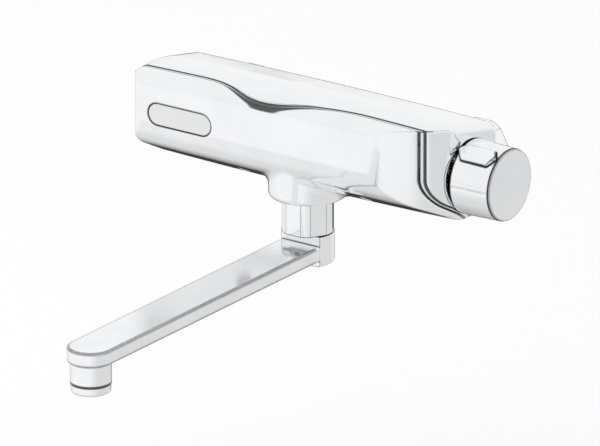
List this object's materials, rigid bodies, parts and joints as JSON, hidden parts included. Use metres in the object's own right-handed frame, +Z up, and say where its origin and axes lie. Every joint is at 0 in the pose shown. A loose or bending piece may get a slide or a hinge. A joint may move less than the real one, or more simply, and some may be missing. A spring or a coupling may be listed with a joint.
{
  "type": "thermostatic sensor basin tap",
  "caption": "Wall-mounted basin tap that opens by itself, with a rounded horizontal body, a sensor window, a temperature knob at one end and a long flat swivel spout below.",
  "frame": {"origin": "midway between the two inlet axes, in the plane of the union nuts' mouths, where the pipes begin", "axes": "+X along the body towards the temperature knob, +Y towards the wall, +Z up"},
  "size_m": [0.2243, 0.271, 0.11],
  "materials": {
    "chrome_plate": "polished",
    "brass": "cast and machined",
    "black_plastic": "moulded",
    "pale_plastic": "moulded",
    "grey_rubber": "moulded",
    "stainless_steel": "drawn",
    "smoked_window": "polished",
    "seam_trim": "plated",
    "board_green": "lacquered",
    "dark_lens": "moulded",
    "battery_wrap": "shrink film",
    "coil_jacket": "moulded",
    "copper": "machined"
  },
  "bodies": {
    "tap_body": {"front_cover": "chrome_plate", "rear_casing": "chrome_plate", "seam_strip": "seam_trim", "sensor_window": "smoked_window", "sensor_housing": "black_plastic", "sensor_board": "board_green", "infrared_diodes": "dark_lens", "battery": "battery_wrap", "battery_contacts": "stainless_steel", "battery_holder": "black_plastic", "valve_body": "brass", "left_inlet_tail": "brass", "right_inlet_tail": "brass", "union_washers": "grey_rubber", "inlet_strainers": "stainless_steel", "check_housings": "pale_plastic", "left_check_spring": "stainless_steel", "right_check_spring": "stainless_steel", "cartridge_sleeve": "pale_plastic", "sleeve_seals": "grey_rubber", "return_spring": "stainless_steel", "cartridge_nut": "brass", "stop_ring": "pale_plastic", "diaphragm": "grey_rubber", "solenoid_bonnet": "pale_plastic", "plunger_spring": "stainless_steel", "solenoid_coil": "coil_jacket", "slip_ring": "pale_plastic", "spout_nut": "chrome_plate", "cover_screws": "stainless_steel", "casing_screws": "stainless_steel"},
    "knob": {"knob": "chrome_plate", "knob_cap": "chrome_plate", "knob_screw": "stainless_steel", "spindle": "brass", "button_spring": "stainless_steel"},
    "stop_button": {"stop_button": "chrome_plate"},
    "regulator": {"thermostat_element": "copper", "regulating_piston": "pale_plastic"},
    "spout": {"spout": "chrome_plate", "neck_seals": "grey_rubber", "aerator_housing": "chrome_plate", "aerator_mesh": "pale_plastic", "aerator_insert": "pale_plastic", "aerator_washer": "grey_rubber"},
    "plunger": {"solenoid_plunger": "stainless_steel"},
    "left_poppet": {"left_check_poppet": "pale_plastic"},
    "right_poppet": {"right_check_poppet": "pale_plastic"},
    "left_nut": {"left_union_nut": "chrome_plate"},
    "right_nut": {"right_union_nut": "chrome_plate"}
  },
  "joints": [
    {"name": "spout_swivel", "type": "hinge", "parent": "tap_body", "child": "spout", "pos_m": [0, -0.0583, 0], "axis": [0, 0, 1], "range_deg": [-60, 60]},
    {"name": "temperature_turn", "type": "hinge", "parent": "tap_body", "child": "knob", "pos_m": [0, -0.044, 0], "axis": [1, 0, 0], "range_deg": [-90, 50]},
    {"name": "stop_button_push", "type": "slide", "parent": "knob", "child": "stop_button", "axis": [0, 0.5299, -0.848], "range_m": [0, 0.0015], "stiffness_N_per_m": 1500, "springref_m": -0.001},
    {"name": "regulator_slide", "type": "slide", "parent": "tap_body", "child": "regulator", "axis": [1, 0, 0], "range_m": [-0.001, 0.001]},
    {"name": "plunger_lift", "type": "slide", "parent": "tap_body", "child": "plunger", "axis": [-1, 0, 0], "range_m": [0, 0.0012], "stiffness_N_per_m": 1000, "springref_m": -0.001},
    {"name": "left_check_open", "type": "slide", "parent": "tap_body", "child": "left_poppet", "axis": [0, -1, 0], "range_m": [0, 0.002], "stiffness_N_per_m": 200, "springref_m": -0.001},
    {"name": "right_check_open", "type": "slide", "parent": "tap_body", "child": "right_poppet", "axis": [0, -1, 0], "range_m": [0, 0.002], "stiffness_N_per_m": 200, "springref_m": -0.001},
    {"name": "left_union_turn", "type": "hinge", "parent": "tap_body", "child": "left_nut", "pos_m": [-0.075, 0, 0], "axis": [0, 1, 0], "continuous": true},
    {"name": "right_union_turn", "type": "hinge", "parent": "tap_body", "child": "right_nut", "pos_m": [0.075, 0, 0], "axis": [0, 1, 0], "continuous": true}
  ],
  "couplings": [
    {"joint": "regulator_slide", "follows": "temperature_turn", "m_per_rad": 0.000398}
  ]
}
